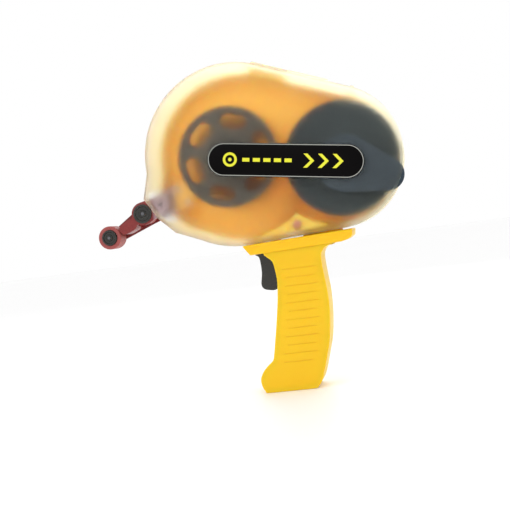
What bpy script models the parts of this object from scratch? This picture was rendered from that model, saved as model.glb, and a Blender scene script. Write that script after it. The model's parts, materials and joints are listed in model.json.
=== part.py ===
"""Hand-held transfer tape applicator: pistol grip, two geared reels, frosted hinged cover.

Metres, +Z up. +X is the rear, -X the nose, -Y the side of the hinged cover. The foot of
the grip stands on z = 0, and the far half of the grip carries the origin on its foot.
"""
import math

import bmesh
import bpy
from mathutils import Matrix, Vector

GAP = 0.0003  # clearance between pieces that touch
FINE = 0.0001  # merge distance of every weld

# Casing: two round lobes, (x, z, radius), and a spout in front given by angle and height.
FRONT_LOBE = (-0.0216, 0.2118, 0.0795)
REAR_LOBE = (0.0615, 0.1978, 0.0615)
SPOUT = ((math.radians(198), 0.0102), (math.radians(211), 0.0085), (math.radians(225), 0.0059))
SPOUT_FROM = math.radians(184)
SPOUT_TO = math.radians(242)
COVER_Y = -0.0300
COVER_RIM_Y = 0.0140
PAN_RIM_Y = 0.0090
PAN_Y = 0.0270
WALL = 0.0022
PAN_INSET = 0.0036
COVER_EDGE = 0.0090
PAN_EDGE = 0.0055

# Reels: supply at the rear, take-up in front, one idler between them.
MODULE = 0.0025
SUPPLY_TEETH = 36
IDLER_TEETH = 16
TAKEUP_TEETH = 13
TOOTH_TIP = 0.85 * MODULE
TOOTH_ROOT = 1.15 * MODULE
SUPPLY_XZ = (0.0695, 0.1968)
REEL_LINE = math.radians(171.4)
GEAR_Y = (0.0150, 0.0200)
DRUM_Y = (-0.0080, 0.0110)
FLANGE_Y = (-0.0118, -0.0088)
SUPPLY_DISC = 0.0505
TAKEUP_DISC = 0.0452
DRUM_RADIUS = 0.0125
DRUM_LIP = 0.0040
AXLE_RADIUS = 0.0035
IDLER_AXLE = 0.0025
AXLE_END_Y = -0.0140
SEAT_END_Y = 0.0240
BOSS_Y = (0.0206, 0.0253)
BOSS_RADIUS = 0.0070
CAP_RADIUS = 0.0090
WINDOWS = 6
WINDOW_RING = 0.0325
WINDOW_RADIUS = 0.0063
WINDOW_REACH = 0.0055
GEAR_WINDOW_RING = 0.0265
GEAR_WINDOW_RADIUS = 0.0085

# Grip: two halves that meet in a plane just on the near side of the middle.
FAR_HALF_Y = -0.0017
NEAR_HALF_Y = FAR_HALF_Y - GAP
GRIP_HALF = 0.0180
FLANGE_HALF = 0.0200
GRIP_WALL = 0.0025
GRIP_EDGE = 0.0065
GRIP_OUTLINE = (
    (-0.0060, 0.1250), (-0.0020, 0.1150), (-0.0005, 0.1060), (0.0000, 0.0970),
    (-0.0010, 0.0880), (-0.0025, 0.0775), (-0.0058, 0.0595), (-0.0088, 0.0450),
    (-0.0112, 0.0335), (-0.0132, 0.0280), (-0.0188, 0.0233), (-0.0232, 0.0184),
    (-0.0257, 0.0130), (-0.0255, 0.0075), (-0.0232, 0.0022), (-0.0185, 0.0000),
    (0.0185, 0.0000), (0.0252, 0.0024), (0.0292, 0.0090), (0.0324, 0.0180),
    (0.0362, 0.0300), (0.0392, 0.0405), (0.0412, 0.0530), (0.0427, 0.0670),
    (0.0430, 0.0820), (0.0420, 0.0950), (0.0412, 0.1080), (0.0416, 0.1165),
    (0.0456, 0.1222), (0.0520, 0.1260),
)
SHELF_OUTLINE = (
    (-0.0268, 0.1318), (-0.0207, 0.1229), (0.0600, 0.1250), (0.0660, 0.1262),
    (0.0704, 0.1290), (0.0712, 0.1350),
)
SHELF_WEBS = ((-0.0240, -0.0130), (0.0240, 0.0600))
SHELF_WEB_Y = (0.0146, 0.0230)
SHELF_WEB_Z = (0.1260, 0.1410)
SHELF_FAR_Y = 0.0250
HANDLE_SCREWS = ((0.0130, 0.0358), (0.0215, 0.0958))
SCREW_BOSS = (0.0045, 0.0165)  # radius, and y of its end on the far side
POST_XZ = (0.0234, 0.1447)
POST_RADIUS = 0.0055
POST_END_Y = -0.0140
WELL_FRONT = 0.0737
WELL_REAR = 0.0570
LAND_Y = (POST_END_Y, -0.0118)
LAND_INSET = 0.0044
LAND_FROM = math.radians(279)
LAND_TO = math.radians(258)

# Trigger and brake.
TRIGGER_PIVOT = (-0.0055, 0.1272)
TRIGGER_HALF = 0.0058
TRIGGER_BOSS = 0.0035
TRIGGER_OUTLINE = (
    (-0.0095, 0.1283), (-0.0150, 0.1258), (-0.0184, 0.1224), (-0.0152, 0.1192), (-0.0146, 0.1065),
    (-0.0163, 0.0960), (-0.0148, 0.0918), (-0.0105, 0.0899), (-0.0035, 0.0896),
    (0.0000, 0.0955), (0.0020, 0.1058), (0.0020, 0.1178), (-0.0010, 0.1283),
)
TRIGGER_SLOT = ((-0.0200, 0.0870), (0.0070, 0.1312))
TRIGGER_SLOT_PLAY = 0.0006
BOSS_CAVITY = ((-0.0105, 0.0050, 0.1229), (-0.0005, 0.0196, 0.1430))
ARM_WINDOW = ((-0.0120, 0.0146, 0.1229), (0.0125, 0.0197, 0.1510))
TRIGGER_PIN_Y = (-0.0115, 0.0217)
SPRING_SEAT = ((0.0130, FAR_HALF_Y, 0.0993), (0.0155, 0.0165, 0.1093))
SPRING_X = (0.0033, 0.0122)
SPRING_Z = 0.1043
SPRING_RADIUS = 0.0030
SPRING_WIRE = 0.00045
BRAKE_ANGLE = math.radians(210)
BRAKE_Y = (0.0152, 0.0192)
BRAKE_ARM_RADIUS = 0.0036
PAD_THICKNESS = 0.0030
PAD_HALF = 0.0045
PIN_RADIUS = 0.0015
BORE_RADIUS = 0.0018

# Nose rollers: (x, z, radius).
APPLICATOR = (-0.1499, 0.1547, 0.0106)
GUIDE = (-0.1151, 0.1723, 0.0092)
INNER = (-0.0970, 0.1790, 0.0072)
HUB_SHARE = 0.66
ROLLER_Y = (-0.0080, 0.0100)
HUB_STEP = 0.0016
NEAR_PLATE_Y = (-0.0108, -0.0085)
FAR_PLATE_Y = (0.0105, 0.0132)
GUIDE_PLATE = (*GUIDE[:2], 0.0104)
INNER_PLATE = (*INNER[:2], 0.0078)
ARM_TIP = (*APPLICATOR[:2], 0.0060)
BRACKET_FOOT = (-0.0812, 0.1850, 0.0120)
BRACKET_SCREWS = ((-0.0845, 0.1912), (-0.0765, 0.1776))
BRACKET_BOSS = 0.0042
BRIDGE_RADIUS = 0.0054
LINK_RADIUS = 0.0042
WASHER_RADIUS = 0.0086
NOSE_NEAR = 0.0650  # distances of the nose opening's corners from the front lobe's middle
NOSE_FAR = 0.1000

# Cover latch, hinge and label.
LATCH_PIVOT = (0.0726, 0.1913)
LATCH_TIP = (0.1075, 0.1769)
LATCH_HEAD_RADIUS = 0.0245
LATCH_TIP_RADIUS = 0.0139
LATCH_Y = (-0.0272, -0.0242)
LATCH_SLOT = ((0.1000, -0.02775, 0.1600), (0.1300, -0.0236, 0.2030))
LATCH_BORE_Y = (-0.0292, -0.0200)
HINGE_Y = 0.0145
HINGE_LIFT = 0.0033
BARREL_RADIUS = 0.0030
WEB_THICKNESS = 0.0035
WEB_TOP = 0.0033
FRAME_KNUCKLES = ((-0.0141, 0.0345), (0.0790, 0.0030))  # start and length along the flat run
FRAME_WEB_DROP = 0.0065
COVER_KNUCKLES = ((0.0208, 0.0370),)
COVER_WEB_DROP = 0.0010
HINGE_BORE = (-0.0200, 0.1150)
HINGE_PIN = (-0.0132, 0.0945)
LABEL_CENTRE = (0.0222, 0.2005)
LABEL_SIZE = (0.1360, 0.0290)
LABEL_TILT = math.radians(-8.9)
LABEL_THICKNESS = 0.0008


def clear_scene():
    for item in list(bpy.data.objects):
        bpy.data.objects.remove(item, do_unlink=True)


def new_collection(name):
    collection = bpy.data.collections.new(name)
    bpy.context.scene.collection.children.link(collection)
    return collection


def make_material(name, colour, roughness, metallic=0.0):
    material = bpy.data.materials.new(name)
    material.use_nodes = True
    shader = material.node_tree.nodes["Principled BSDF"]
    shader.inputs["Base Color"].default_value = (*colour, 1.0)
    shader.inputs["Roughness"].default_value = roughness
    shader.inputs["Metallic"].default_value = metallic
    return material


def polar(centre, radius, angle):
    return (centre[0] + radius * math.cos(angle), centre[1] + radius * math.sin(angle))


def arc(centre, radius, start, end, count):
    steps = [start + (end - start) * i / count for i in range(count + 1)]
    return [polar(centre, radius, angle) for angle in steps]


def ring(centre, radius, count):
    return arc(centre, radius, 0.0, 2 * math.pi, count)[:-1]


def tangent_angles(first, second):
    """Angles of the outer normals of the two lines that touch both circles."""
    dx = first[0] - second[0]
    dz = first[1] - second[1]
    along = math.atan2(dz, dx)
    swing = math.acos((second[2] - first[2]) / math.hypot(dx, dz))
    return along - swing, along + swing


def capsule(first, second, count=12):
    """Outline around two circles, each given as (x, z, radius)."""
    upper, lower = tangent_angles(first, second)
    outline = arc(first[:2], first[2], upper, lower, count)
    outline += arc(second[:2], second[2], lower, upper + 2 * math.pi, count)
    return outline


def casing_outline(inset):
    """Both lobes with the spout, every point moved inwards by the inset."""
    upper, lower = tangent_angles(FRONT_LOBE, REAR_LOBE)
    centre = FRONT_LOBE[:2]
    radius = FRONT_LOBE[2] - inset
    outline = arc(centre, radius, upper, SPOUT_FROM, 16)
    for angle, height in SPOUT:
        outline.append(polar(centre, radius + height, angle))
    outline += arc(centre, radius, SPOUT_TO, lower, 4)
    outline += arc(REAR_LOBE[:2], REAR_LOBE[2] - inset, lower, upper + 2 * math.pi, 24)
    return outline


def add_mesh(name, mesh, collection, material=None):
    piece = bpy.data.objects.new(name, mesh)
    collection.objects.link(piece)
    if material:
        mesh.materials.clear()
        mesh.materials.append(material)
    return piece


def flat_solid(name, rings, y_near, y_far, collection, material=None):
    """Closed solid: a flat outline in XZ, with any holes, between two values of y."""
    curve = bpy.data.curves.new(name, "CURVE")
    curve.dimensions = "2D"
    curve.fill_mode = "BOTH"
    curve.extrude = (y_far - y_near) / 2
    for points in rings:
        spline = curve.splines.new("POLY")
        spline.points.add(len(points) - 1)
        for target, (x, z) in zip(spline.points, points):
            target.co = (x, z, 0.0, 1.0)
        spline.use_cyclic_u = True
    return curve_to_piece(name, curve, collection, material, (y_near + y_far) / 2)


def curve_to_piece(name, curve, collection, material, y_middle, upright=True):
    holder = bpy.data.objects.new(name + "_curve", curve)
    collection.objects.link(holder)
    if upright:
        holder.rotation_euler = (math.pi / 2, 0.0, 0.0)
        holder.location = (0.0, y_middle, 0.0)
    bpy.context.view_layer.update()
    mesh = bpy.data.meshes.new_from_object(holder.evaluated_get(bpy.context.evaluated_depsgraph_get()))
    mesh.transform(holder.matrix_world)
    bpy.data.objects.remove(holder, do_unlink=True)
    shape = bmesh.new()
    shape.from_mesh(mesh)
    bmesh.ops.remove_doubles(shape, verts=shape.verts, dist=FINE / 10)
    bmesh.ops.recalc_face_normals(shape, faces=shape.faces)
    shape.to_mesh(mesh)
    shape.free()
    mesh.name = name
    return add_mesh(name, mesh, collection, material)


def turned(name, centre, profile, collection, material=None, steps=32):
    """Solid turned about a line along Y; profile is (radius, y), far end first."""
    mesh = bpy.data.meshes.new(name)
    points = [(radius, 0.0, y) for radius, y in profile]
    edges = [(i, (i + 1) % len(points)) for i in range(len(points))]
    edges = [pair for pair in edges if max(profile[i][0] for i in pair) > 0.0]
    mesh.from_pydata(points, edges, [])
    piece = add_mesh(name, mesh, collection, material)
    piece.rotation_euler = (-math.pi / 2, 0.0, 0.0)
    piece.location = (centre[0], 0.0, centre[1])
    screw = piece.modifiers.new("turn", "SCREW")
    screw.steps = steps
    screw.render_steps = steps
    screw.use_merge_vertices = True
    screw.merge_threshold = FINE / 10
    screw.use_smooth_shade = True
    return piece


def rod(name, centre, radius, y_near, y_far, collection, material=None, steps=14):
    profile = [(0.0, y_far), (radius, y_far), (radius, y_near), (0.0, y_near)]
    return turned(name, centre, profile, collection, material, steps)


def tube(name, centre, radius, bore, y_near, y_far, collection, material=None, steps=20):
    profile = [(bore, y_far), (radius, y_far), (radius, y_near), (bore, y_near)]
    return turned(name, centre, profile, collection, material, steps)


def box(name, low, high, collection, material=None):
    mesh = bpy.data.meshes.new(name)
    shape = bmesh.new()
    bmesh.ops.create_cube(shape, size=1.0)
    size = [b - a for a, b in zip(low, high)]
    middle = [(a + b) / 2 for a, b in zip(low, high)]
    bmesh.ops.scale(shape, verts=shape.verts, vec=size)
    bmesh.ops.translate(shape, verts=shape.verts, vec=middle)
    shape.to_mesh(mesh)
    shape.free()
    return add_mesh(name, mesh, collection, material)


def join_to(piece, other, cutters):
    boolean(piece, other, "UNION", cutters)


def cut_from(piece, cutter, cutters):
    boolean(piece, cutter, "DIFFERENCE", cutters)


def boolean(piece, tool, operation, cutters):
    for collection in list(tool.users_collection):
        collection.objects.unlink(tool)
    cutters.objects.link(tool)
    tool.hide_render = True
    tool.display_type = "WIRE"
    step = piece.modifiers.new(operation.lower(), "BOOLEAN")
    step.operation = operation
    step.solver = "MANIFOLD"
    step.object = tool


def round_edges(piece, width, segments=2, angle=40):
    bevel = piece.modifiers.new("edges", "BEVEL")
    bevel.width = width
    bevel.segments = segments
    bevel.limit_method = "ANGLE"
    bevel.angle_limit = math.radians(angle)


def dished_shell(name, outline, y_open, y_closed, edge, wall, collection, material=None):
    """Open tray: flat bottom at y_closed with a rounded edge, walls up to y_open."""
    low, high = sorted((y_open, y_closed))
    piece = flat_solid(name, [outline], low, high, collection, material)
    shape = bmesh.new()
    shape.from_mesh(piece.data)
    floor_edges = []
    for border in shape.edges:
        at_floor = all(abs(v.co.y - y_closed) < FINE for v in border.verts)
        sides = [abs(face.normal.y) for face in border.link_faces]
        if at_floor and min(sides) < 0.5 < max(sides):
            floor_edges.append(border)
    bmesh.ops.bevel(
        shape, geom=floor_edges, offset=edge, segments=4, profile=0.5, affect="EDGES",
        clamp_overlap=True)
    mouth = [f for f in shape.faces if all(abs(v.co.y - y_open) < FINE for v in f.verts)]
    bmesh.ops.delete(shape, geom=mouth, context="FACES")
    shape.to_mesh(piece.data)
    shape.free()
    thicken = piece.modifiers.new("wall", "SOLIDIFY")
    thicken.thickness = wall
    thicken.offset = -1.0
    thicken.use_even_offset = True
    return piece


def gear_outline(centre, teeth, phase):
    """Straight-sided teeth, thin enough to run with play; a tooth points at the phase."""
    pitch = MODULE * teeth / 2
    root = pitch - TOOTH_ROOT
    tip = pitch + TOOTH_TIP
    step = 2 * math.pi / teeth
    points = []
    for tooth in range(teeth):
        middle = phase + tooth * step
        points.append(polar(centre, root, middle - 0.29 * step))
        points.append(polar(centre, tip, middle - 0.11 * step))
        points.append(polar(centre, tip, middle + 0.11 * step))
        points.append(polar(centre, root, middle + 0.29 * step))
    return points


def hinge_frame():
    """Start, end, direction and outward normal of the flat run on top of the casing."""
    upper, _ = tangent_angles(FRONT_LOBE, REAR_LOBE)
    normal = Vector((math.cos(upper), 0.0, math.sin(upper)))
    start = Vector((FRONT_LOBE[0], 0.0, FRONT_LOBE[1])) + normal * FRONT_LOBE[2]
    end = Vector((REAR_LOBE[0], 0.0, REAR_LOBE[1])) + normal * REAR_LOBE[2]
    return start, end, (end - start).normalized(), normal


def along_hinge(name, radius, start, length, collection, material=None, steps=16):
    """Cylinder on the hinge line, from a distance along it."""
    base, _, direction, normal = hinge_frame()
    middle = base + direction * (start + length / 2) + normal * HINGE_LIFT
    middle.y = HINGE_Y
    mesh = bpy.data.meshes.new(name)
    shape = bmesh.new()
    bmesh.ops.create_cone(
        shape, cap_ends=True, segments=steps, radius1=radius, radius2=radius, depth=length)
    turn = Vector((0.0, 0.0, 1.0)).rotation_difference(direction).to_matrix().to_4x4()
    bmesh.ops.transform(shape, verts=shape.verts, matrix=Matrix.Translation(middle) @ turn)
    shape.to_mesh(mesh)
    shape.free()
    return add_mesh(name, mesh, collection, material)


def knuckle(name, run, y_low, y_high, drop, collection):
    """Web from the hinge barrel down into a wall."""
    base, _, direction, normal = hinge_frame()
    start, length = run
    corners = []
    for distance, lift in (
            (start, -drop), (start + length, -drop), (start + length, WEB_TOP), (start, WEB_TOP)):
        point = base + direction * distance + normal * lift
        corners.append((point.x, point.z))
    return flat_solid(name, [corners], y_low, y_high, collection)


def add_hinge(piece, runs, y_low, y_high, drop, cutters):
    """Knuckles on their webs, bored through for the pin."""
    for index, run in enumerate(runs):
        web = knuckle("%s_web_%d" % (piece.name, index), run, y_low, y_high, drop, cutters)
        join_to(piece, web, cutters)
        barrel = along_hinge("%s_barrel_%d" % (piece.name, index), BARREL_RADIUS, *run, cutters)
        join_to(piece, barrel, cutters)
    cut_from(piece, along_hinge(piece.name + "_hinge_bore", BORE_RADIUS - GAP, *HINGE_BORE, cutters), cutters)


def reel_axles():
    """Name, centre and axle radius of the two reels and the idler."""
    return (
        ("supply", SUPPLY_XZ, AXLE_RADIUS), ("takeup", takeup_centre(), AXLE_RADIUS),
        ("idler", idler_centre(), IDLER_AXLE))


def make_frame(parts, cutters, material):
    """Far tray of the casing, its bosses, the shelf and the far half of the grip."""
    frame = dished_shell(
        "main_frame", casing_outline(PAN_INSET), PAN_RIM_Y, PAN_Y, PAN_EDGE, WALL, parts, material)
    shelf = flat_solid("shelf_far", [SHELF_OUTLINE], FAR_HALF_Y, SHELF_FAR_Y, cutters)
    join_to(frame, shelf, cutters)
    for index, (x_low, x_high) in enumerate(SHELF_WEBS):
        low = (x_low, SHELF_WEB_Y[0], SHELF_WEB_Z[0])
        high = (x_high, SHELF_WEB_Y[1], SHELF_WEB_Z[1])
        join_to(frame, box("shelf_web_%d" % index, low, high, cutters), cutters)
    grip = dished_shell(
        "grip_far", GRIP_OUTLINE, FAR_HALF_Y, GRIP_HALF, GRIP_EDGE, GRIP_WALL, cutters)
    join_to(frame, grip, cutters)
    add_frame_bosses(frame, cutters)
    join_to(frame, box("spring_seat", *SPRING_SEAT, cutters), cutters)
    add_hinge(frame, FRAME_KNUCKLES, HINGE_Y, HINGE_Y + WEB_THICKNESS, FRAME_WEB_DROP, cutters)
    cut_trigger_space(frame, cutters)
    cut_from(frame, box("boss_cavity", *BOSS_CAVITY, cutters), cutters)
    cut_from(frame, box("arm_window", *ARM_WINDOW, cutters), cutters)
    cut_from(frame, nose_cutter("frame_nose", 0.0005, FAR_PLATE_Y[1] + 2 * GAP, cutters), cutters)
    return frame


def land_outline():
    """Web between the round wells of the two reels, down to the bottom wall."""
    front, rear = FRONT_LOBE[:2], REAR_LOBE[:2]
    _, lower = tangent_angles(FRONT_LOBE, REAR_LOBE)
    span = math.dist(front, rear)
    along = math.atan2(rear[1] - front[1], rear[0] - front[0])
    front_turn = math.acos((WELL_FRONT ** 2 + span ** 2 - WELL_REAR ** 2) / (2 * WELL_FRONT * span))
    rear_turn = math.acos((WELL_REAR ** 2 + span ** 2 - WELL_FRONT ** 2) / (2 * WELL_REAR * span))
    outline = arc(front, WELL_FRONT, LAND_FROM, along + 2 * math.pi - front_turn, 12)
    outline += arc(rear, WELL_REAR, along + math.pi + rear_turn, LAND_TO, 12)[1:]
    for lobe, angle in ((REAR_LOBE, LAND_TO), (FRONT_LOBE, LAND_FROM)):
        reach = (lobe[2] - LAND_INSET) / math.cos(angle - lower)
        outline.append(polar(lobe[:2], reach, angle))
    return outline


def add_frame_bosses(frame, cutters):
    """Seats of the axles, the cover post and the screw bosses, each with its bore."""
    for name, centre, radius in reel_axles():
        join_to(frame, rod(name + "_boss", centre, BOSS_RADIUS, *BOSS_Y, cutters), cutters)
        seat = rod(name + "_seat", centre, radius + GAP, BOSS_Y[0] - 0.002, SEAT_END_Y, cutters)
        cut_from(frame, seat, cutters)
    join_to(frame, rod("post", POST_XZ, POST_RADIUS, POST_END_Y, BOSS_Y[1], cutters), cutters)
    join_to(frame, flat_solid("land", [land_outline()], *LAND_Y, cutters), cutters)
    post_bore = rod("post_bore", POST_XZ, BORE_RADIUS, POST_END_Y - 0.006, POST_END_Y + 0.010, cutters)
    cut_from(frame, post_bore, cutters)
    for index, centre in enumerate(BRACKET_SCREWS):
        name = "bracket_boss_%d" % index
        boss = rod(name, centre, BRACKET_BOSS, FAR_PLATE_Y[1] + GAP, BOSS_Y[1], cutters)
        join_to(frame, boss, cutters)
        cut_from(frame, rod(name + "_bore", centre, BORE_RADIUS, 0.0100, 0.0220, cutters), cutters)
    radius, end = SCREW_BOSS
    for index, centre in enumerate(HANDLE_SCREWS):
        name = "screw_boss_%d" % index
        join_to(frame, rod(name, centre, radius, FAR_HALF_Y, end, cutters), cutters)
        cut_from(frame, rod(name + "_bore", centre, BORE_RADIUS, -0.0050, 0.0300, cutters), cutters)


def cut_trigger_space(piece, cutters):
    """Slot that the trigger swings in, and the hole for its pin."""
    half = TRIGGER_HALF + TRIGGER_SLOT_PLAY
    (x_low, z_low), (x_high, z_high) = TRIGGER_SLOT
    slot = box(piece.name + "_slot", (x_low, -half, z_low), (x_high, half, z_high), cutters)
    cut_from(piece, slot, cutters)
    near, far = TRIGGER_PIN_Y
    pin = rod(piece.name + "_pin_hole", TRIGGER_PIVOT, BORE_RADIUS, near - 0.0005, far + 0.0005, cutters)
    cut_from(piece, pin, cutters)


def nose_cutter(name, y_low, y_high, cutters):
    """Block that opens the front of the spout between its upper and lower corners."""
    centre = FRONT_LOBE[:2]
    corners = [
        polar(centre, NOSE_NEAR, math.radians(193)), polar(centre, NOSE_FAR, math.radians(195)),
        polar(centre, NOSE_FAR, math.radians(215)), polar(centre, NOSE_NEAR, math.radians(219))]
    return flat_solid(name, [corners], y_low, y_high, cutters)


def make_handle_cover(parts, cutters, material):
    """Near half of the grip with its side of the shelf."""
    cover = flat_solid(
        "handle_cover", [SHELF_OUTLINE], -FLANGE_HALF, NEAR_HALF_Y, parts, material)
    grip = dished_shell(
        "grip_near", GRIP_OUTLINE, NEAR_HALF_Y, -GRIP_HALF, GRIP_EDGE, GRIP_WALL, cutters)
    join_to(cover, grip, cutters)
    radius, end = SCREW_BOSS
    for index, centre in enumerate(HANDLE_SCREWS):
        name = "near_boss_%d" % index
        join_to(cover, rod(name, centre, radius, -end, NEAR_HALF_Y, cutters), cutters)
        cut_from(cover, rod(name + "_bore", centre, BORE_RADIUS, -0.0110, 0.0050, cutters), cutters)
    cut_trigger_space(cover, cutters)
    return cover


def make_case_cover(parts, cutters, material):
    """Frosted tray that hinges on the flat run on top of the casing."""
    cover = dished_shell(
        "case_cover", casing_outline(0.0), COVER_RIM_Y, COVER_Y, COVER_EDGE, WALL, parts, material)
    add_hinge(cover, COVER_KNUCKLES, HINGE_Y - WEB_THICKNESS, HINGE_Y, COVER_WEB_DROP, cutters)
    cut_from(cover, nose_cutter("cover_nose", -0.0200, 0.0200, cutters), cutters)
    cut_from(cover, box("latch_slot", *LATCH_SLOT, cutters), cutters)
    cut_from(cover, rod("latch_bore", LATCH_PIVOT, BORE_RADIUS, *LATCH_BORE_Y, cutters), cutters)
    return cover


def takeup_centre():
    distance = MODULE * (SUPPLY_TEETH + TAKEUP_TEETH) / 2 + MODULE * IDLER_TEETH
    return polar(SUPPLY_XZ, distance, REEL_LINE)


def idler_centre():
    return polar(SUPPLY_XZ, MODULE * (SUPPLY_TEETH + IDLER_TEETH) / 2, REEL_LINE)


def make_gears(parts, material):
    """Supply gear, idler and take-up gear on one line.

    The supply gear points a tooth along the line. The idler has an even number of teeth,
    so it shows a gap to both neighbours, and the take-up gear points a tooth back at it.
    """
    back = REEL_LINE + math.pi
    rows = (
        ("supply_gear", SUPPLY_XZ, SUPPLY_TEETH, REEL_LINE, AXLE_RADIUS),
        ("idler_gear", idler_centre(), IDLER_TEETH, back + math.pi / IDLER_TEETH, IDLER_AXLE),
        ("takeup_gear", takeup_centre(), TAKEUP_TEETH, back, AXLE_RADIUS),
    )
    for name, centre, teeth, phase, axle in rows:
        rings = [gear_outline(centre, teeth, phase), ring(centre, axle + GAP, 20)]
        if name == "supply_gear":
            for index in range(WINDOWS):
                angle = phase + index * 2 * math.pi / WINDOWS
                middle = polar(centre, GEAR_WINDOW_RING, angle)
                rings.append(ring(middle, GEAR_WINDOW_RADIUS, 14))
        flat_solid(name, rings, *GEAR_Y, parts, material)


def make_reel(name, centre, disc_radius, parts, cutters, drum_material, disc_material, windows):
    """Drum and front disc of one reel."""
    bore = AXLE_RADIUS + GAP
    drum = [
        (bore, GEAR_Y[0] - GAP), (DRUM_RADIUS + DRUM_LIP, GEAR_Y[0] - GAP),
        (DRUM_RADIUS + DRUM_LIP, DRUM_Y[1] + 0.0012), (DRUM_RADIUS, DRUM_Y[1]),
        (DRUM_RADIUS, DRUM_Y[0]), (bore, DRUM_Y[0])]
    turned(name + "_drum", centre, drum, parts, drum_material, steps=24)
    near, far = FLANGE_Y
    edge = (far - near) / 3
    profile = [
        (bore, far), (disc_radius - edge, far), (disc_radius, far - edge),
        (disc_radius, near + edge), (disc_radius - edge, near), (bore, near)]
    disc = turned(name + "_disc", centre, profile, parts, disc_material, steps=40)
    if windows:
        swing = WINDOW_REACH / WINDOW_RING
        for index in range(WINDOWS):
            angle = math.radians(14) + index * 2 * math.pi / WINDOWS
            first = (*polar(centre, WINDOW_RING, angle - swing), WINDOW_RADIUS)
            second = (*polar(centre, WINDOW_RING, angle + swing), WINDOW_RADIUS)
            outline = capsule(first, second, 7)
            cut_from(disc, flat_solid("window_%d" % index, [outline], -0.0200, 0.0, cutters), cutters)
    return disc


def make_axles(parts, steel, cap_material):
    """Fixed axles, the end caps of the two reels and the spacer ring of the idler."""
    seat = SEAT_END_Y - GAP
    bore = AXLE_RADIUS + GAP
    face = FLANGE_Y[0] - GAP
    for name, centre, radius in reel_axles()[:2]:
        rod(name + "_axle", centre, radius, AXLE_END_Y, seat, parts, steel)
        profile = [
            (bore, face), (CAP_RADIUS, face), (CAP_RADIUS, AXLE_END_Y),
            (CAP_RADIUS - 0.0010, AXLE_END_Y - 0.0012), (0.0, AXLE_END_Y - 0.0012),
            (0.0, AXLE_END_Y - GAP), (bore, AXLE_END_Y - GAP)]
        turned(name + "_cap", centre, profile, parts, cap_material, steps=20)
    rod("idler_axle", idler_centre(), IDLER_AXLE, GEAR_Y[0] - 0.0020, seat, parts, steel, steps=16)
    tube("idler_ring", idler_centre(), 0.0046, IDLER_AXLE + GAP, GEAR_Y[0] - 0.0018, GEAR_Y[0] - GAP,
         parts, steel, steps=20)


def make_trigger(parts, cutters, material, steel, arm_material, pad_material):
    """Trigger blade and its long boss, brake arm with its pad, pin and return spring."""
    trigger = flat_solid(
        "trigger", [TRIGGER_OUTLINE], -TRIGGER_HALF, TRIGGER_HALF, parts, material)
    round_edges(trigger, 0.0015, 1)
    boss_end = BRAKE_Y[0] - GAP
    boss = rod("trigger_boss", TRIGGER_PIVOT, TRIGGER_BOSS, -TRIGGER_HALF, boss_end, cutters, steps=20)
    join_to(trigger, boss, cutters)
    cut_from(trigger, rod("trigger_bore", TRIGGER_PIVOT, BORE_RADIUS, -0.0100, 0.0300, cutters), cutters)
    tip = MODULE * SUPPLY_TEETH / 2 + TOOTH_TIP + GAP
    reach = tip + PAD_THICKNESS + GAP + BRAKE_ARM_RADIUS
    head = (*polar(SUPPLY_XZ, reach, BRAKE_ANGLE), BRAKE_ARM_RADIUS)
    root = (*TRIGGER_PIVOT, BRAKE_ARM_RADIUS + 0.0002)
    arm = flat_solid("brake_arm", [capsule(root, head, 10)], *BRAKE_Y, parts, arm_material)
    cut_from(arm, rod("arm_bore", TRIGGER_PIVOT, BORE_RADIUS, 0.0100, 0.0300, cutters), cutters)
    across = BRAKE_ANGLE + math.pi / 2
    low = polar(SUPPLY_XZ, tip, BRAKE_ANGLE)
    high = polar(SUPPLY_XZ, tip + PAD_THICKNESS, BRAKE_ANGLE)
    corners = [
        polar(low, -PAD_HALF, across), polar(low, PAD_HALF, across),
        polar(high, PAD_HALF, across), polar(high, -PAD_HALF, across)]
    flat_solid("brake_pad", [corners], *BRAKE_Y, parts, pad_material)
    rod("trigger_pin", TRIGGER_PIVOT, PIN_RADIUS, *TRIGGER_PIN_Y, parts, steel, steps=16)
    make_spring(parts, steel)


def make_spring(parts, steel):
    """Compression spring between the back of the blade and its seat in the grip."""
    turns, per_turn = 4, 9
    start, end = SPRING_X
    curve = bpy.data.curves.new("trigger_spring", "CURVE")
    curve.dimensions = "3D"
    curve.bevel_depth = SPRING_WIRE
    curve.bevel_resolution = 1
    curve.use_fill_caps = True
    spline = curve.splines.new("POLY")
    count = turns * per_turn
    spline.points.add(count)
    for index, point in enumerate(spline.points):
        angle = 2 * math.pi * index / per_turn
        x = start + (end - start) * index / count
        point.co = (x, SPRING_RADIUS * math.cos(angle), SPRING_Z + SPRING_RADIUS * math.sin(angle), 1.0)
    curve_to_piece("trigger_spring", curve, parts, steel, 0.0, upright=False)


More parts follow.
